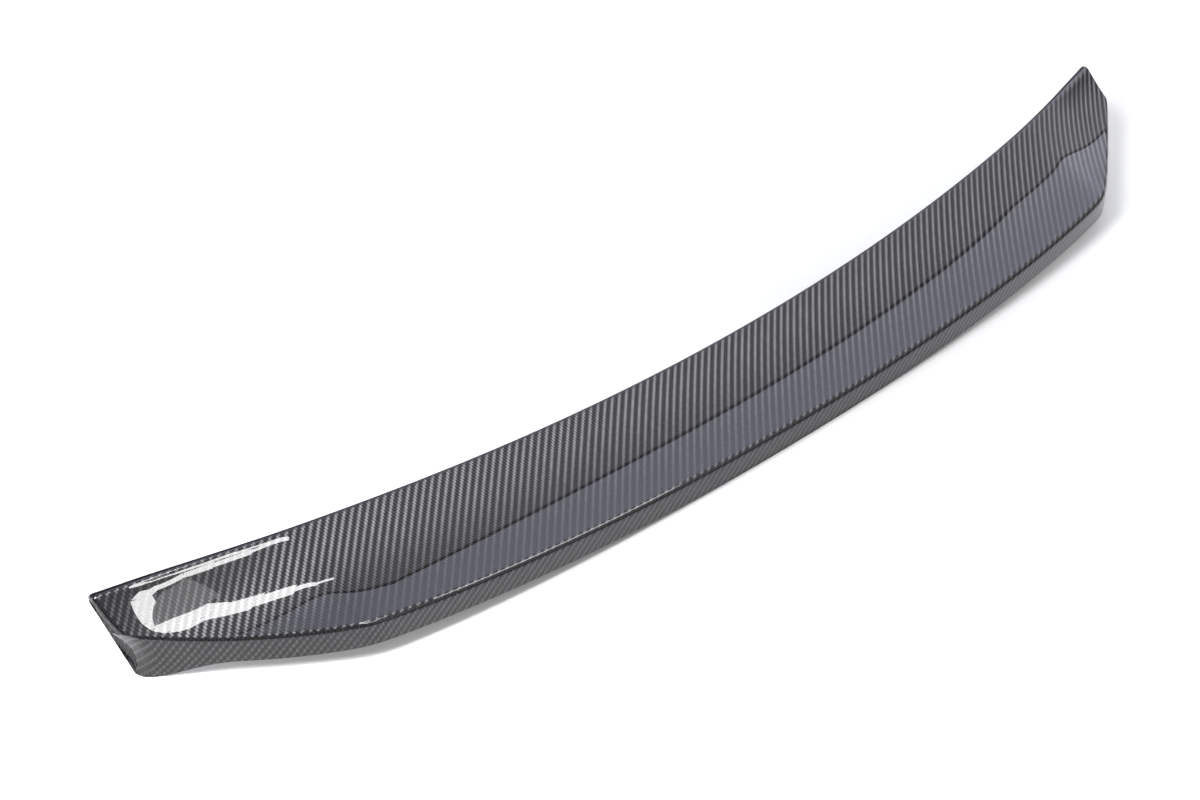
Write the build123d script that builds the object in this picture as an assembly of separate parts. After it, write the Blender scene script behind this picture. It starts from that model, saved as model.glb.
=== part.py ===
from build123d import *
import math
import os

# Lip spoiler for a boot lid, moulded as one thin laminate shell that is open underneath.
# Millimetres. X runs along the span, +Y from the trailing lip to the leading edge, +Z is up.
# The shell lies as it rests on a table, on its two end feet and the middle of its rear wall.

# Front edge of the top face, at the middle, one third, two thirds and the tip of the half span:
# how far back it lies, and how high.
HALF_SPAN = 593.0
FRONT_BACK = (2.1, 7.8, 26.4, 69.9)
FRONT_HEIGHT = (43.8, 47.7, 57.4, 56.4)

# Sharp corner of the trailing lip, at the middle, one third and two thirds of the half span, and its
# swept ends: how long they are, how softly they turn, how much they run back, and how far they dip.
LIP_BACK = (-95.9, -91.4, -73.4)
LIP_HEIGHT = (19.6, 23.1, 31.5)
SWEPT_LENGTH = 147.0
BEND_X = HALF_SPAN - SWEPT_LENGTH
BEND_SOFT = 13.5
BEND_SWEEP = 0.497
BEND_DIP = 6.6

# Hollow of the top face between its two long edges, as a share of the chord: at the middle, towards the
# ends, and at the end rims, where it fades over a short length so that each end is dished.
HOLLOW_MIDDLE = 0.042
HOLLOW_END = 0.06
HOLLOW_RIM = 0.008
DISH_LENGTH = 45.0

# Rear wall under the lip, and the stretch over which it runs down to a foot at each end.
WALL_DROP = 20.6
FOOT_LENGTH = 61.0
FOOT_TOE = 14.0
FOOT_END_X = HALF_SPAN - FOOT_TOE
FOOT_START_X = FOOT_END_X - FOOT_LENGTH

# Rolled leading edge and the short front wall below it, with the roll growing towards the tips.
ROLL_RADIUS = 4.0
ROLL_RADIUS_TIP = 8.0
FRONT_WALL = 2.5

# Rounding of the trailing lip and of the ends, and how the ends slant in plan and lean in below.
LIP_RADIUS = 5.0
END_RADIUS = 4.0
END_SLANT = 2.0
END_LEAN = 9.0

# Laminate thickness, the least softening of an inside corner, and how far the cavity runs on below the shell.
SKIN = 2.2
LEAST_INSIDE = 0.5
CAVITY_OVERRUN = 12.0

# Cross sections on each side of the middle one, evenly spaced, the last past the end cut.
STATIONS_PER_SIDE = 20
END_OVERRUN = 13.0


def even_curve(share, offsets):
    """Smooth curve, alike on both sides of the middle, through offsets at thirds of the half span."""
    total = 0.0
    for i, offset in enumerate(offsets):
        weight = 1.0
        for j in range(len(offsets)):
            if j != i:
                weight *= (9 * share * share - j * j) / (i * i - j * j)
        total += weight * offset
    return total


def front_point(x):
    """Front edge of the top face at x, as a point of the cross section."""
    share = x / HALF_SPAN
    return Vector(even_curve(share, FRONT_BACK), even_curve(share, FRONT_HEIGHT))


def lip_point(x):
    """Trailing lip at x: a gentle bow, then a bend from which the ends sweep back."""
    past_bend = abs(x) - BEND_X
    run = (past_bend + math.hypot(past_bend, BEND_SOFT)) / 2
    end_share = run / SWEPT_LENGTH
    back = even_curve(x / HALF_SPAN, LIP_BACK) + BEND_SWEEP * run
    height = even_curve(x / HALF_SPAN, LIP_HEIGHT) - 4 * BEND_DIP * end_share * (1 - end_share)
    return Vector(back, height)


def wall_drop(x):
    """Height of the rear wall, which runs down to the table at each foot."""
    share = (abs(x) - FOOT_START_X) / FOOT_LENGTH
    share = min(max(share, 0.0), 1.0)
    foot_extra = lip_point(FOOT_END_X).Y - WALL_DROP
    return WALL_DROP + foot_extra * share**3 * (4 - 3 * share)


def hollow_share(x):
    """Depth of the hollow in the top face at x, as a share of the chord."""
    hollow = HOLLOW_MIDDLE + (HOLLOW_END - HOLLOW_MIDDLE) * (x / HALF_SPAN)**2
    fade = (abs(x) - HALF_SPAN + DISH_LENGTH) / DISH_LENGTH
    fade = min(max(fade, 0.0), 1.0)
    return hollow + (HOLLOW_RIM - hollow) * fade**2 * (3 - 2 * fade)


def wall_inset(x, inset):
    """An inset square to the rear wall, measured along Y across the wall's slant in plan."""
    slope = (lip_point(x + 1).X - lip_point(x - 1).X) / 2
    return inset * math.hypot(1, slope)


def section(x, inset):
    """Closed outline across the span at x, with every wall moved inwards by the inset."""
    front = front_point(x)
    lip = lip_point(x)
    share = abs(x) / HALF_SPAN
    chord = lip - front
    sag = Vector(-chord.Y, chord.X) * hollow_share(x)
    face = ThreePointArc(front, front + chord * 0.5 + sag, lip)
    stops = (0, 0.5, 1)
    runs = [face % at for at in stops]
    top = [face @ at + Vector(-run.Y, run.X) * inset for at, run in zip(stops, runs)]
    foot = lip + Vector(wall_inset(x, inset), -wall_drop(x))
    top[2] += runs[2] * ((foot.X - top[2].X) / runs[2].X)
    roll = ROLL_RADIUS + (ROLL_RADIUS_TIP - ROLL_RADIUS) * share**4
    roll_turn = 90 - math.degrees(math.atan2(runs[0].Y, -runs[0].X))
    overrun = Vector(0, CAVITY_OVERRUN if inset else 0)
    with BuildSketch(Plane.YZ.offset(x)) as outline:
        with BuildLine():
            ThreePointArc(*top)
            rolled = JernArc(top[0], runs[0] * -1, roll - inset, -roll_turn, mode=Mode.PRIVATE)
            add(Edge.make_line(rolled @ 0, rolled @ 1) if inset else rolled)
            front_foot = rolled @ 1 - Vector(0, FRONT_WALL)
            Polyline(rolled @ 1, front_foot - overrun, foot - overrun, top[2])
        make_face()
    return outline.sketch


def moulded_form(inset):
    """Solid form of the outside with rounded edges, or with an inset the cavity, with a flat for the lip."""
    soften_lip = chamfer if inset else fillet
    spacing = (HALF_SPAN + END_OVERRUN) / STATIONS_PER_SIDE
    stations = range(-STATIONS_PER_SIDE, STATIONS_PER_SIDE + 1)
    form = loft([section(i * spacing, inset) for i in stations])
    long_edges = form.edges().filter_by(lambda edge: edge.length > HALF_SPAN)
    lip_edge = long_edges.sort_by(Axis.Y)[:2].sort_by(Axis.Z)[-1]
    form = soften_lip(lip_edge, max(LIP_RADIUS - inset, LEAST_INSIDE))
    tip = front_point(HALF_SPAN) + Vector(ROLL_RADIUS_TIP, 0)
    for side in (1, -1):
        outwards = Vector(side, 0, 0).rotate(Axis.Y, side * END_LEAN).rotate(Axis.Z, -side * END_SLANT)
        end = Plane(Vector(side * HALF_SPAN, tip.X, tip.Y) - outwards * inset, z_dir=outwards)
        form = split(form, bisect_by=end, keep=Keep.BOTTOM)
    caps = form.faces().filter_by(GeomType.PLANE)
    end_edges = [edge for cap in caps for edge in cap.edges().sort_by(SortBy.LENGTH)[:-1]]
    return fillet(end_edges, max(END_RADIUS - inset, LEAST_INSIDE))


# The shell is the outer form less its cavity, set with the middle of its box over the origin.
shell = moulded_form(0) - moulded_form(SKIN)
box = shell.bounding_box()
shell = Pos(0, -box.center().Y, -box.min.Z) * shell

os.makedirs("parts", exist_ok=True)
export_step(shell, "parts/spoiler_shell.step")
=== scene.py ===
import bmesh
import bpy
import math
from mathutils import Matrix, Vector


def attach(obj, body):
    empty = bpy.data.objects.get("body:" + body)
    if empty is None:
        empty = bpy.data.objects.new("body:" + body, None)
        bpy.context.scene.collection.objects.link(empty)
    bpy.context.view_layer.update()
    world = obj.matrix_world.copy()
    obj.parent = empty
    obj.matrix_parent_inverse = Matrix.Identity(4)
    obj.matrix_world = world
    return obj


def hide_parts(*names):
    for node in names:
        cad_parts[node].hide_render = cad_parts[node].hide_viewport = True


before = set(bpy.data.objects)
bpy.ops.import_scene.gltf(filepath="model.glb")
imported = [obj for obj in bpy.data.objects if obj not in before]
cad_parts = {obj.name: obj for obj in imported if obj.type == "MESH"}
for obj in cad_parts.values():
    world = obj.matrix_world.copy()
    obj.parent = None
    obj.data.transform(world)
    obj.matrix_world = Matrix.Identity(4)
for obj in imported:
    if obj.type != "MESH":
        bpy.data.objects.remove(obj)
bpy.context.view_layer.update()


# The shell: a lip spoiler that is one moulding of carbon cloth in epoxy, laid in an open mould, cured and
# trimmed. It is about 2 mm thick and open underneath, and its ends run down to small feet.
# It is bonded to the boot lid round its open base, so it has no holes or screws.

# Lengths of the shell are in millimetres. The seat is how far it is moved to stand in the shared frame.
MM = 0.001
HALF_SPAN = 592.4
SKIN = 2.2
SEAT = Vector((0.0, 7.794, 1.538))

# Front edge of the top face at the middle, one third, two thirds and the tip of the half span: how far back
# it lies, and how high. Then its roll, which grows towards the tips, and the short wall below it.
FRONT_BACK = (2.1, 7.8, 26.4, 69.9)
FRONT_HEIGHT = (43.8, 47.7, 57.4, 56.4)
ROLL_RADIUS = 4.0
ROLL_RADIUS_TIP = 7.1
FRONT_WALL = 2.5

# Trailing lip at the middle, one third and two thirds of the half span, its rounding, and its swept ends: how
# long they are, how softly they turn, how much they run back, and how far they dip.
LIP_BACK = (-95.9, -91.4, -73.4)
LIP_HEIGHT = (19.6, 23.1, 31.5)
LIP_RADIUS = 5.0
SWEPT_LENGTH = 147.0
BEND_SOFT = 13.5
BEND_SWEEP = 0.497
BEND_DIP = 6.6

# Hollow of the top face between its long edges, as a share of the chord: at the middle, towards the ends, and
# at the end rims, where it fades so that each end is dished.
HOLLOW_MIDDLE = 0.042
HOLLOW_END = 0.06
HOLLOW_RIM = 0.025
DISH_LENGTH = 55.0

# Rear wall under the lip, and the stretch over which it runs down to a foot at each end.
WALL_DROP = 21.1
FOOT_LENGTH = 61.0
FOOT_TOE = 14.0
FOOT_REACH = 1.2

# Ends: rounding of the rim and of its corner at the lip, slant in plan, lean below, bow of the rim in plan
# and waist of the end wall.
END_RADIUS = 4.0
CORNER_RADIUS = 11.0
END_SLANT = math.radians(2.0)
END_LEAN = math.radians(9.0)
END_BOW = 1.1
END_WAIST = 4.5

# Least roundings on the inside of the skin.
LEAST_ROLL = 0.5
LEAST_LIP = 0.8
LEAST_RIM = 0.6


def smooth(share):
    """A share from 0 to 1, eased at both ends."""
    share = min(max(share, 0.0), 1.0)
    return share * share * (3 - 2 * share)


def even_curve(share, offsets):
    """Smooth curve, alike on both sides of the middle, through offsets at thirds of the half span."""
    total = 0.0
    for i, offset in enumerate(offsets):
        weight = 1.0
        for j in range(len(offsets)):
            if j != i:
                weight *= (9 * share * share - j * j) / (i * i - j * j)
        total += weight * offset
    return total


def front_edge(x):
    """Front edge of the top face at x, across and up."""
    share = x / HALF_SPAN
    return Vector((even_curve(share, FRONT_BACK), even_curve(share, FRONT_HEIGHT)))


def trailing_lip(x):
    """Trailing lip at x: a gentle bow, then a bend from which the ends sweep back."""
    past_bend = abs(x) - (HALF_SPAN - SWEPT_LENGTH)
    run = (past_bend + math.hypot(past_bend, BEND_SOFT)) / 2
    end_share = run / SWEPT_LENGTH
    back = even_curve(x / HALF_SPAN, LIP_BACK) + BEND_SWEEP * run
    height = even_curve(x / HALF_SPAN, LIP_HEIGHT) - 4 * BEND_DIP * end_share * (1 - end_share)
    return Vector((back, height))


def rear_wall_drop(x):
    """Height of the rear wall, which runs down to the table at each foot."""
    toe = HALF_SPAN - FOOT_TOE
    share = min(max((abs(x) - toe + FOOT_LENGTH) / FOOT_LENGTH, 0.0), 1.0)
    return WALL_DROP + (trailing_lip(toe).y + FOOT_REACH - WALL_DROP) * share**3 * (4 - 3 * share)


def hollow_share(x):
    """Depth of the hollow in the top face at x, as a share of the chord."""
    hollow = HOLLOW_MIDDLE + (HOLLOW_END - HOLLOW_MIDDLE) * (x / HALF_SPAN)**2
    return hollow + (HOLLOW_RIM - hollow) * smooth((abs(x) - HALF_SPAN + DISH_LENGTH) / DISH_LENGTH)


# Where each point of a cross section lies: its stretch, and its place along that stretch.
STRETCHES = (("front wall", 2), ("roll", 10), ("face", 34), ("lip", 12), ("rear wall", 8))
SECTION = [(name, step / count) for name, count in STRETCHES for step in range(count)] + [("rear wall", 1.0)]


def skin_point(x, stretch, along, inset):
    """A point of the cross section at x, across and up, with every wall moved in by the inset."""
    # The face is a parabola between its two long edges, the roll is an arc, and the lip is one smooth bend.
    front, lip = front_edge(x), trailing_lip(x)
    chord = lip - front
    inwards = Vector((-chord.y, chord.x))
    hollow = hollow_share(x)
    run = (chord + inwards * 4 * hollow).normalized()
    start = front + Vector((-run.y, run.x)) * inset
    tip_share = (abs(x) / HALF_SPAN)**4
    radius = max(ROLL_RADIUS + (ROLL_RADIUS_TIP - ROLL_RADIUS) * tip_share - inset, LEAST_ROLL)
    turn = math.pi / 2 - math.atan2(run.y, -run.x)
    centre = start + Vector((-run.y, run.x)) * radius
    if stretch in ("front wall", "roll"):
        angle = turn * (1 - along) if stretch == "roll" else turn
        out = Vector((run.y, -run.x))
        spoke = Vector((out.x * math.cos(angle) + out.y * math.sin(angle),
                        out.y * math.cos(angle) - out.x * math.sin(angle)))
        below = FRONT_WALL * (1 - along) if stretch == "front wall" else 0.0
        return centre + spoke * radius - Vector((0, below))
    end_run = (chord - inwards * 4 * hollow).normalized()
    slope = (trailing_lip(x + 1).x - trailing_lip(x - 1).x) / 2
    wall = lip.x + inset * math.hypot(1, slope)
    corner = lip + Vector((-end_run.y, end_run.x)) * inset
    corner = corner + end_run * ((wall - corner.x) / end_run.x)
    softening = max(LIP_RADIUS - inset, LEAST_LIP)
    lip_turn = math.acos(-end_run.y)
    reach = softening * math.tan(lip_turn / 2)
    inner_chord = corner - start
    face_stop = 1 - reach / inner_chord.length
    dip = Vector((-inner_chord.y, inner_chord.x)) * 4 * hollow
    if stretch == "face":
        at = along * face_stop
        return start + inner_chord * at + dip * at * (1 - at)
    lip_start = start + inner_chord * face_stop + dip * face_stop * (1 - face_stop)
    lip_stop = Vector((wall, corner.y - reach))
    if stretch == "lip":
        pull = softening * math.tan(lip_turn / 4) * 4 / 3
        leaving = (inner_chord + dip * (1 - 2 * face_stop)).normalized()
        handles = (lip_start, lip_start + leaving * pull, lip_stop + Vector((0, pull)), lip_stop)
        shares = ((1 - along)**3, 3 * along * (1 - along)**2, 3 * along**2 * (1 - along), along**3)
        return sum((handle * part for handle, part in zip(handles, shares)), Vector((0, 0)))
    foot = lip.y - rear_wall_drop(x)
    return Vector((wall, lip_stop.y + (foot - lip_stop.y) * along))


def end_cut(point, set_in):
    """Where the slanted and leaning end lies for a point across and up, set in along the span."""
    tip = front_edge(HALF_SPAN) + Vector((ROLL_RADIUS_TIP, 0))
    lean = math.tan(END_LEAN) / math.cos(END_SLANT)
    across = min(max((tip.x - point.x) / (tip.x - trailing_lip(HALF_SPAN).x), 0.0), 1.0)
    bow = END_BOW * 4 * across * (1 - across)
    return HALF_SPAN + bow + math.tan(END_SLANT) * (point.x - tip.x) + lean * (point.y - tip.y) - set_in


# Passes in which a point near the end settles on the end cut.
END_PASSES = 5


def end_point(nominal, stretch, along, inset, set_in, weight):
    """A point near the end, moved along the span so that the last rings lie on the end cut."""
    x = nominal
    for _ in range(END_PASSES):
        point = skin_point(x, stretch, along, inset)
        x = nominal + weight * (end_cut(point, set_in) - nominal)
    return Vector((x, point.x, point.y))


def corner_radius(stretch, along):
    """The end rim is a small rounding, wider at the corner of the lip and tight again at the foot."""
    share = {"lip": smooth(along), "rear wall": 1 - along}.get(stretch, 0.0)
    return END_RADIUS + (CORNER_RADIUS - END_RADIUS) * share


def wall_waist(stretch, along):
    """How far the end of the rear wall is drawn in between the lip and the foot."""
    return END_WAIST * 4 * along * (1 - along) if stretch == "rear wall" else 0.0


# One face of the laminate as rings from the middle out to an end: plain cross sections, which turn into the
# end cut over the last stretch, then the rounded rim, then the end wall, which is slightly waisted.
PLAIN_RINGS = 150
RIM_RINGS = 7
WALL_RINGS = 8
TURNING_STRETCH = 90.0


def laminate_face(inset):
    """The rings of the outer face or, with the skin as inset, of the back."""
    rings = []
    set_ins = [max(corner_radius(*spot), inset + LEAST_RIM) + wall_waist(*spot) for spot in SECTION]
    for k in range(PLAIN_RINGS + 1):
        nominal = (HALF_SPAN - CORNER_RADIUS) * k / PLAIN_RINGS
        weight = smooth((nominal - HALF_SPAN + CORNER_RADIUS + TURNING_STRETCH) / TURNING_STRETCH)
        ring = []
        for (stretch, along), set_in in zip(SECTION, set_ins):
            ring.append(end_point(nominal, stretch, along, inset, set_in, weight))
        rings.append(ring)
    for k in range(1, RIM_RINGS + 1):
        angle = math.pi / 2 * k / RIM_RINGS
        ring = []
        for stretch, along in SECTION:
            radius = max(corner_radius(stretch, along) - inset, LEAST_RIM)
            inner = inset + radius * (1 - math.cos(angle))
            set_in = inset + radius * (1 - math.sin(angle)) + wall_waist(stretch, along)
            ring.append(end_point(HALF_SPAN, stretch, along, inner, set_in, 1.0))
        rings.append(ring)
    rim = rings[-1]
    lengths = [0.0]
    for before, after in zip(rim, rim[1:]):
        lengths.append(lengths[-1] + (after - before).length)
    base = [rim[0].lerp(rim[-1], at / lengths[-1]) for at in lengths]
    deepest = max((p - q).length for p, q in zip(rim, base))
    for k in range(1, WALL_RINGS + 1):
        drop = k / WALL_RINGS
        ring = []
        for p, q in zip(rim, base):
            waist = END_WAIST * 4 * drop * (1 - drop) * (p - q).length / deepest
            ring.append(p.lerp(q, drop) - Vector((waist, 0, 0)))
        rings.append(ring)
    return rings


# How the cloth lies: straight off the roll, with one family of tows along the span and the other across it.
# Past the plain rings it is drawn on over the end.
outside = laminate_face(0.0)
inside = laminate_face(SKIN)
cloth = []
face_first = SECTION.index(("face", 0.0))
for k, ring in enumerate(outside):
    if k <= PLAIN_RINGS:
        along_span = [p.x for p in ring]
        across = [0.0]
        for before, after in zip(ring, ring[1:]):
            across.append(across[-1] - (after - before).length)
        across = [at - across[face_first] + ring[face_first].y for at in across]
    else:
        along_span = [at + (p - q).length for at, p, q in zip(along_span, ring, outside[k - 1])]
    cloth.append(list(zip(along_span, across)))

# The two faces of the laminate are joined along the trimmed base into one closed skin.
OUTER_FINISH = 0
BACK_FINISH = 1
WELD = 1e-6
SHARP_ANGLE = math.radians(40)
mesh = bmesh.new()
weave_map = mesh.loops.layers.uv.new("cloth")
order = [(-1, k) for k in range(len(outside) - 1, 0, -1)] + [(1, k) for k in range(len(outside))]
lay = [[Vector((side * a, b)) * MM for a, b in cloth[k]] for side, k in order]


def end_to_end(rings):
    """Corners of one face of the laminate, mirrored about the middle and set in the shared frame."""
    return [[mesh.verts.new((Vector((side * p.x, p.y, p.z)) + SEAT) * MM) for p in rings[k]]
            for side, k in order]


def corners_at(corners, spots):
    """Corners at some rows and columns, each with its place in the cloth."""
    return [(corners[row][column], lay[row][column]) for row, column in spots]


def facet(corners, finish):
    face = mesh.faces.new([vertex for vertex, _ in corners])
    face.smooth = True
    face.material_index = finish
    for loop, (_, spot) in zip(face.loops, corners):
        loop[weave_map].uv = spot


def trimmed_edge(spots):
    """A facet of the trimmed edge, out along the outer face and home along the back."""
    facet(corners_at(outer, spots) + corners_at(back, reversed(spots)), BACK_FINISH)


outer = end_to_end(outside)
back = end_to_end(inside)
last_row = len(order) - 1
last_column = len(SECTION) - 1
for row in range(last_row):
    for column in range(last_column):
        round_it = ((row, column), (row, column + 1), (row + 1, column + 1), (row + 1, column))
        facet(corners_at(outer, round_it), OUTER_FINISH)
        facet(corners_at(back, reversed(round_it)), BACK_FINISH)
    trimmed_edge(((row, 0), (row + 1, 0)))
    trimmed_edge(((row + 1, last_column), (row, last_column)))
for column in range(last_column):
    trimmed_edge(((0, column + 1), (0, column)))
for column in range(last_column):
    trimmed_edge(((last_row, column), (last_row, column + 1)))
bmesh.ops.remove_doubles(mesh, verts=mesh.verts[:], dist=WELD)
bmesh.ops.dissolve_degenerate(mesh, edges=mesh.edges[:], dist=WELD)
bmesh.ops.recalc_face_normals(mesh, faces=mesh.faces[:])
spoiler_mesh = bpy.data.meshes.new("carbon_spoiler")
mesh.to_mesh(spoiler_mesh)
mesh.free()
spoiler_mesh.set_sharp_from_angle(angle=SHARP_ANGLE)
spoiler = bpy.data.objects.new("carbon_spoiler", spoiler_mesh)
bpy.context.scene.collection.objects.link(spoiler)


def linear(hex_colour):
    """An sRGB hex value as linear red, green, blue and alpha."""
    parts = [int(hex_colour[i:i + 2], 16) / 255 for i in (1, 3, 5)]
    return [c / 12.92 if c <= 0.04045 else ((c + 0.055) / 1.055) ** 2.4 for c in parts] + [1.0]


def add_node(tree, kind, settings=None, inputs=None):
    """Adds a node: settings are its properties, inputs are constants or the sockets they are linked from."""
    made = tree.nodes.new(kind)
    for name, value in (settings or {}).items():
        setattr(made, name, value)
    for name, value in (inputs or {}).items():
        if isinstance(value, bpy.types.NodeSocket):
            tree.links.new(value, made.inputs[name])
        else:
            made.inputs[name].default_value = value
    return made


def emptied_tree(owner):
    """The node tree of a material or world, with nothing in it."""
    owner.use_nodes = True
    owner.node_tree.nodes.clear()
    return owner.node_tree


# Two-by-two twill of 3000-filament carbon tows, 12.5 to the inch, so 2.03 mm from tow to tow. Each tow goes
# over two and under two, one step on from its neighbour, which makes the diagonal ribs. The group gives which
# family of tows is on top, how high the cloth stands, and a slight difference from tow to tow.
INCH = 25.4
TOWS_AN_INCH = 12.5
TOW = INCH / TOWS_AN_INCH * MM
REPEAT = 4.0
WAVE_SHARE = 0.7
CROWN_SHARE = 0.3
twill = bpy.data.node_groups.new("twill cloth", "ShaderNodeTree")
for name in ("Crossing on top", "Height", "Tow tone"):
    twill.interface.new_socket(name, in_out="OUTPUT", socket_type="NodeSocketFloat")
place = add_node(twill, "ShaderNodeUVMap", {"uv_map": "cloth"})
in_tows = add_node(twill, "ShaderNodeVectorMath", {"operation": "SCALE"}, {
    0: place.outputs[0], "Scale": 1 / TOW})
spot = add_node(twill, "ShaderNodeSeparateXYZ", inputs={0: in_tows.outputs[0]})
tow_of = add_node(twill, "ShaderNodeVectorMath", {"operation": "FLOOR"}, {0: in_tows.outputs[0]})
number = add_node(twill, "ShaderNodeSeparateXYZ", inputs={0: tow_of.outputs[0]})
step_on = add_node(twill, "ShaderNodeMath", {"operation": "SUBTRACT"}, {
    0: number.outputs["X"], 1: number.outputs["Y"]})
turn_of = add_node(twill, "ShaderNodeMath", {"operation": "FLOORED_MODULO"}, {
    0: step_on.outputs[0], 1: REPEAT})
crossing = add_node(twill, "ShaderNodeMath", {"operation": "LESS_THAN"}, {
    0: turn_of.outputs[0], 1: REPEAT / 2 - 0.5})

# Each tow stands as a wave along its length and is crowned across its width.
heights = []
for along, over, rises_at in (("X", "Y", 2.0), ("Y", "X", -1.0)):
    into = add_node(twill, "ShaderNodeMath", {"operation": "SUBTRACT"}, {
        0: spot.outputs[along], 1: number.outputs[over]})
    since_rise = add_node(twill, "ShaderNodeMath", {"operation": "SUBTRACT"}, {
        0: into.outputs[0], 1: rises_at})
    swell = add_node(twill, "ShaderNodeMath", {"operation": "MULTIPLY"}, {
        0: since_rise.outputs[0], 1: 2 * math.pi / REPEAT})
    wave = add_node(twill, "ShaderNodeMath", {"operation": "SINE"}, {0: swell.outputs[0]})
    across_tow = add_node(twill, "ShaderNodeMath", {"operation": "FRACT"}, {0: spot.outputs[over]})
    round_tow = add_node(twill, "ShaderNodeMath", {"operation": "MULTIPLY"}, {
        0: across_tow.outputs[0], 1: math.pi})
    crown = add_node(twill, "ShaderNodeMath", {"operation": "SINE"}, {0: round_tow.outputs[0]})
    tall = add_node(twill, "ShaderNodeMath", {"operation": "MULTIPLY"}, {0: wave.outputs[0], 1: WAVE_SHARE})
    heights.append(add_node(twill, "ShaderNodeMath", {"operation": "MULTIPLY_ADD"}, {
        0: crown.outputs[0], 1: CROWN_SHARE, 2: tall.outputs[0]}))
height = add_node(twill, "ShaderNodeMix", {"data_type": "FLOAT"}, {
    "Factor": crossing.outputs[0], "A": heights[0].outputs[0], "B": heights[1].outputs[0]})

# Crossing tows are numbered half a step on, so that the two families vary on their own.
cross_number = add_node(twill, "ShaderNodeMath", {"operation": "ADD"}, {0: number.outputs["X"], 1: 0.5})
tow_number = add_node(twill, "ShaderNodeMix", {"data_type": "FLOAT"}, {
    "Factor": crossing.outputs[0], "A": number.outputs["Y"], "B": cross_number.outputs[0]})
tone = add_node(twill, "ShaderNodeTexWhiteNoise", {"noise_dimensions": "1D"}, {"W": tow_number.outputs[0]})
add_node(twill, "NodeGroupOutput", inputs={
    "Crossing on top": crossing.outputs[0], "Height": height.outputs[0], "Tow tone": tone.outputs["Value"]})

# Carbon twill in clear gloss epoxy. The filaments are near black and shine like dark metal, but only sideways
# to their length, so each family of tows lights up from another direction. Beyond that, the crossing tows are
# painted lighter than the tows along the span, as painted light on one and the same cloth, and the tows are
# painted darker where they dive under, as painted shade in the hollows of the weave. Over them lies a smooth
# clear coat with the sharp reflections of polished lacquer.
WEAVE_RELIEF = 0.05 * MM
QUARTER_TURN = 0.25

# The colour sockets of a Mix node, by number, because their names are shared with its other sockets.
FIRST_COLOUR = 6
SECOND_COLOUR = 7
MIXED_COLOUR = 2
gloss = bpy.data.materials.new("carbon twill under clear coat")
tree = emptied_tree(gloss)
weave = add_node(tree, "ShaderNodeGroup", {"node_tree": twill})
# Painted light: the crossing tows are painted a lighter grey and the tows along the span a darker one, though
# both are the same cloth.
lit_and_shaded_tows = add_node(tree, "ShaderNodeMix", {"data_type": "RGBA"}, {
    "Factor": weave.outputs["Crossing on top"],
    FIRST_COLOUR: linear("#323133"), SECOND_COLOUR: linear("#605e62")})
shade = add_node(tree, "ShaderNodeMapRange", inputs={
    "Value": weave.outputs["Tow tone"], "To Min": 0.82, "To Max": 1.0})
# Painted shade: the tows are painted darker down in the valleys of the weave, where they dive under. The
# random tone from tow to tow is multiplied in with it.
painted_valley_shade = add_node(tree, "ShaderNodeMapRange", inputs={
    "Value": weave.outputs["Height"], "From Min": 0.05, "From Max": 0.95, "To Min": 0.15, "To Max": 1.0})
tone_and_painted_shade = add_node(tree, "ShaderNodeMath", {"operation": "MULTIPLY"}, {
    0: shade.outputs[0], 1: painted_valley_shade.outputs[0]})
tow_colour_with_painted_light = add_node(tree, "ShaderNodeMix", {"data_type": "RGBA", "blend_type": "MULTIPLY"}, {
    "Factor": 1.0, FIRST_COLOUR: lit_and_shaded_tows.outputs[MIXED_COLOUR], SECOND_COLOUR: tone_and_painted_shade.outputs[0]})
bump = add_node(tree, "ShaderNodeBump", inputs={
    "Strength": 1.0, "Distance": WEAVE_RELIEF, "Height": weave.outputs["Height"]})
fibre_way = add_node(tree, "ShaderNodeTangent", {"direction_type": "UV_MAP", "uv_map": "cloth"})
turned = add_node(tree, "ShaderNodeMapRange", inputs={
    "Value": weave.outputs["Crossing on top"], "To Min": QUARTER_TURN, "To Max": 0.0})
shader = add_node(tree, "ShaderNodeBsdfPrincipled", inputs={
    "Base Color": tow_colour_with_painted_light.outputs[MIXED_COLOUR], "Metallic": 1.0, "Roughness": 0.5, "Anisotropic": 1.0,
    "Anisotropic Rotation": turned.outputs[0], "Tangent": fibre_way.outputs[0], "Normal": bump.outputs[0],
    "Coat Weight": 1.0, "Coat Roughness": 0.015, "Coat IOR": 1.5})
add_node(tree, "ShaderNodeOutputMaterial", inputs={"Surface": shader.outputs[0]})

# Bare laminate on the underside: the back of the same cloth, dull and rich in resin, as the open side of a
# moulding is left. Its weave stands deeper, because no tool pressed it flat.
BACK_RELIEF = 0.1 * MM
dull = bpy.data.materials.new("bare laminate back")
tree = emptied_tree(dull)
weave = add_node(tree, "ShaderNodeGroup", {"node_tree": twill})
# Painted light: here too the crossing tows are painted a lighter grey than the tows along the span, though
# both are the same cloth.
lit_and_shaded_tows = add_node(tree, "ShaderNodeMix", {"data_type": "RGBA"}, {
    "Factor": weave.outputs["Crossing on top"],
    FIRST_COLOUR: linear("#2b2b2d"), SECOND_COLOUR: linear("#3a3a3c")})
bump = add_node(tree, "ShaderNodeBump", inputs={
    "Strength": 1.0, "Distance": BACK_RELIEF, "Height": weave.outputs["Height"]})
shader = add_node(tree, "ShaderNodeBsdfPrincipled", inputs={
    "Base Color": lit_and_shaded_tows.outputs[MIXED_COLOUR], "Roughness": 0.55, "Normal": bump.outputs[0]})
add_node(tree, "ShaderNodeOutputMaterial", inputs={"Surface": shader.outputs[0]})

spoiler_mesh.materials.append(gloss)
spoiler_mesh.materials.append(dull)
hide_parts("spoiler_shell")
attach(spoiler, "root")


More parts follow.
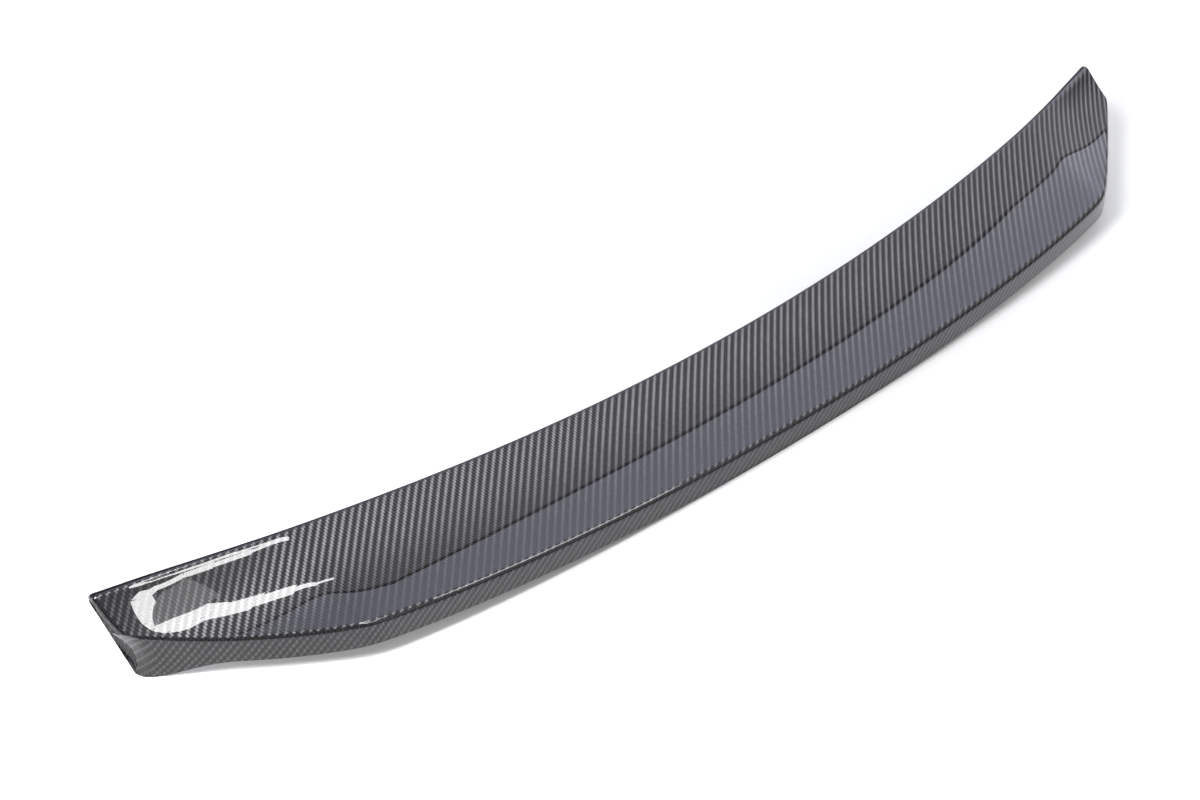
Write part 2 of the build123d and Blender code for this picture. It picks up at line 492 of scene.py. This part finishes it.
# The table: a wide sheet of plain white paper, as for a catalogue picture. It is lifted to white for the
# camera and for reflections, less so close to the spoiler, where its shadow stays. Distance along the span
# counts for less, as the spoiler is long.
FLOOR_SIZE = 12.0
ALONG_COUNTS = 0.5
LIFT_START = 0.1
LIFT_FULL = 0.8
LEAST_LIFT = 0.08
half = FLOOR_SIZE / 2
corners = [(-half, -half, 0), (half, -half, 0), (half, half, 0), (-half, half, 0)]
floor_mesh = bpy.data.meshes.new("white_table")
floor_mesh.from_pydata(corners, [], [(0, 1, 2, 3)])
floor = bpy.data.objects.new("white_table", floor_mesh)
bpy.context.scene.collection.objects.link(floor)
paper = bpy.data.materials.new("white paper")
tree = emptied_tree(paper)
matt = add_node(tree, "ShaderNodeBsdfDiffuse", inputs={"Color": linear("#ececec")})
spot = add_node(tree, "ShaderNodeNewGeometry")
drawn_in = add_node(tree, "ShaderNodeVectorMath", {"operation": "MULTIPLY"}, {
    0: spot.outputs["Position"], 1: (ALONG_COUNTS, 1, 1)})
from_middle = add_node(tree, "ShaderNodeVectorMath", {"operation": "LENGTH"}, {0: drawn_in.outputs["Vector"]})
lift = add_node(tree, "ShaderNodeMapRange", inputs={
    "Value": from_middle.outputs["Value"], "From Min": LIFT_START, "From Max": LIFT_FULL,
    "To Min": LEAST_LIFT, "To Max": 1.0})
white = add_node(tree, "ShaderNodeEmission", inputs={"Color": linear("#ffffff"), "Strength": lift.outputs[0]})
lifted = add_node(tree, "ShaderNodeAddShader", inputs={0: matt.outputs[0], 1: white.outputs[0]})
ray = add_node(tree, "ShaderNodeLightPath")
mirrored = add_node(tree, "ShaderNodeMath", {"operation": "MAXIMUM"}, {
    0: ray.outputs["Is Glossy Ray"], 1: ray.outputs["Is Transmission Ray"]})
seen = add_node(tree, "ShaderNodeMath", {"operation": "MAXIMUM"}, {
    0: ray.outputs["Is Camera Ray"], 1: mirrored.outputs[0]})
shown = add_node(tree, "ShaderNodeMixShader", inputs={
    0: seen.outputs[0], 1: matt.outputs[0], 2: lifted.outputs[0]})
add_node(tree, "ShaderNodeOutputMaterial", inputs={"Surface": shown.outputs[0]})
floor_mesh.materials.append(paper)


# The room: a pale ceiling over the spoiler, a cool pale panel behind it to the right, and a thin dark gap
# between them, which the clear coat mirrors as a dark line along the face. To the left and near the floor the
# room is dim. The camera itself sees plain white behind the table.

# Edges in the room are planes through the spoiler, given by their normals. A direction lies past the gap if
# it is on the far side of the last gap plane and of either of the others. The panel lies on the near side of
# its own edge.
GAP_PLANES = ((0.62, 1.0, -0.81), (-0.585, 1.0, -0.046), (-0.12, 1.0, -0.084))
PANEL_EDGE = (-0.6, 1.0, -0.5)
GAP_HALF_ANGLE = math.radians(0.4)
ROOM_STRENGTH = 3.0
dim, pale, cool, dark = [linear(colour) for colour in ("#2c2c2f", "#929294", "#c6cada", "#101010")]
world = bpy.data.worlds.new("studio")
bpy.context.scene.world = world
tree = emptied_tree(world)
sight = add_node(tree, "ShaderNodeTexCoord")
far_side = [add_node(tree, "ShaderNodeVectorMath", {"operation": "DOT_PRODUCT"}, {
    0: sight.outputs["Generated"], 1: Vector(plane).normalized()}) for plane in (*GAP_PLANES, PANEL_EDGE)]
either = add_node(tree, "ShaderNodeMath", {"operation": "MAXIMUM"}, {
    0: far_side[0].outputs["Value"], 1: far_side[1].outputs["Value"]})
past_gap = add_node(tree, "ShaderNodeMath", {"operation": "MINIMUM"}, {
    0: either.outputs[0], 1: far_side[2].outputs["Value"]})
beyond = add_node(tree, "ShaderNodeMath", {"operation": "GREATER_THAN"}, {0: past_gap.outputs[0], 1: 0.0})
in_gap = add_node(tree, "ShaderNodeMath", {"operation": "COMPARE"}, {
    0: past_gap.outputs[0], 1: 0.0, 2: math.sin(GAP_HALF_ANGLE)})
compass = add_node(tree, "ShaderNodeSeparateXYZ", inputs={0: sight.outputs["Generated"]})
overhead = add_node(tree, "ShaderNodeMapRange", inputs={
    "Value": compass.outputs["Z"], "From Min": 0.2, "From Max": 0.45})
over_part = add_node(tree, "ShaderNodeMapRange", inputs={
    "Value": compass.outputs["X"], "From Min": -0.3, "From Max": 0.0})
ceiling = add_node(tree, "ShaderNodeMix", {"data_type": "RGBA"}, {
    "Factor": over_part.outputs[0], FIRST_COLOUR: dim, SECOND_COLOUR: pale})
on_panel = add_node(tree, "ShaderNodeMath", {"operation": "LESS_THAN"}, {
    0: far_side[3].outputs["Value"], 1: 0.0})
to_right = add_node(tree, "ShaderNodeMapRange", inputs={
    "Value": compass.outputs["X"], "From Min": 0.08, "From Max": 0.2, "To Max": on_panel.outputs[0]})
wall = add_node(tree, "ShaderNodeMix", {"data_type": "RGBA"}, {
    "Factor": to_right.outputs[0], FIRST_COLOUR: dim, SECOND_COLOUR: cool})
room = add_node(tree, "ShaderNodeMix", {"data_type": "RGBA"}, {
    "Factor": beyond.outputs[0],
    FIRST_COLOUR: ceiling.outputs[MIXED_COLOUR], SECOND_COLOUR: wall.outputs[MIXED_COLOUR]})
gapped = add_node(tree, "ShaderNodeMix", {"data_type": "RGBA"}, {
    "Factor": in_gap.outputs[0], FIRST_COLOUR: room.outputs[MIXED_COLOUR], SECOND_COLOUR: dark})
dim_below = add_node(tree, "ShaderNodeMix", {"data_type": "RGBA"}, {
    "Factor": overhead.outputs[0], FIRST_COLOUR: dim, SECOND_COLOUR: gapped.outputs[MIXED_COLOUR]})
lit_room = add_node(tree, "ShaderNodeBackground", inputs={
    "Color": dim_below.outputs[MIXED_COLOUR], "Strength": ROOM_STRENGTH})
white = add_node(tree, "ShaderNodeBackground", inputs={"Color": linear("#ffffff"), "Strength": 1.0})
ray = add_node(tree, "ShaderNodeLightPath")
behind = add_node(tree, "ShaderNodeMixShader", inputs={
    0: ray.outputs["Is Camera Ray"], 1: lit_room.outputs[0], 2: white.outputs[0]})
add_node(tree, "ShaderNodeOutputWorld", inputs={"Surface": behind.outputs[0]})


# The lamps hang level under the ceiling. A bent tube over the left end is mirrored there as a white hoop,
# with a faint glow inside it, and a strip draws the white line along the lip. These show in reflections only.
# A soft box far to the left lights the tows that cross the span, and the table too.
LAMP_HEIGHT = 2.0
HOOP_GLOW = 18.0

# The bends of the tube: place over the table in metres, and how wide the tube is there.
hoop = (
    (0.34, -0.27, 0.02), (0.11, -0.57, 0.05), (-0.13, -0.92, 0.08), (-0.36, -1.22, 0.10),
    (-0.57, -1.34, 0.12), (-0.60, -1.15, 0.14), (-0.55, -0.90, 0.13), (-0.52, -0.75, 0.13),
    (-0.48, -0.58, 0.13), (-0.43, -0.42, 0.13), (-0.34, -0.25, 0.13), (-0.18, -0.05, 0.10),
    (-0.02, 0.14, 0.06), (0.14, 0.27, 0.03), (0.42, 0.37, 0.015))

# Each lamp: its name, both ends over the table in metres, its width, how brightly its face glows, and whether
# it lights matt things such as the table.
lamps = [
    ("soft box to the left", (-3.00, 0.05), (-0.95, 0.05), 0.70, 22.0, True),
    ("strip over the lip", (0.60, -0.76), (1.38, -0.76), 0.28, 18.0, False),
    ("glow inside the hoop", (-0.43, -1.15), (-0.37, -0.45), 0.14, 2.0, False),
    ("glow inside the hoop", (-0.46, -1.10), (-0.42, -0.45), 0.08, 3.0, False)]
for one, other in zip(hoop, hoop[1:]):
    lamps.append(("tube of the hoop", one[:2], other[:2], (one[2] + other[2]) / 2, HOOP_GLOW, False))
for name, start, stop, width, glow, lights_matt in lamps:
    run = Vector(stop) - Vector(start)
    lamp = bpy.data.lights.new(name, "AREA")
    lamp.shape = "RECTANGLE"
    lamp.size = run.length
    lamp.size_y = width
    lamp.energy = glow * math.pi * run.length * width
    hung = bpy.data.objects.new(lamp.name, lamp)
    hung.location = ((start[0] + stop[0]) / 2, (start[1] + stop[1]) / 2, LAMP_HEIGHT)
    hung.rotation_euler = (0, 0, math.atan2(run.y, run.x))
    hung.visible_diffuse = lights_matt
    bpy.context.scene.collection.objects.link(hung)


# The camera stands in front and to the left, looking down along the span, with a short telephoto lens. Its
# place and its directions were recovered from the photograph together with the outline.
CAMERA_PLACE = (-1.3321, -1.1539, 1.2651)
SENSOR_WIDTH = 36.0
LENS = 76.63
camera_data = bpy.data.cameras.new("camera")
camera_data.sensor_width = SENSOR_WIDTH
camera_data.lens = LENS
camera = bpy.data.objects.new("camera", camera_data)
bpy.context.scene.collection.objects.link(camera)
forward = Vector((0.5760, 0.5668, -0.5891)).normalized()
right = Vector((0.7144, -0.6993, 0.0256))
right = (right - forward * right.dot(forward)).normalized()
upward = right.cross(forward)
turn_to = Matrix((right, upward, -forward)).transposed().to_4x4()
camera.matrix_world = Matrix.Translation(CAMERA_PLACE) @ turn_to
bpy.context.scene.camera = camera
bpy.context.scene.view_settings.view_transform = "Standard"
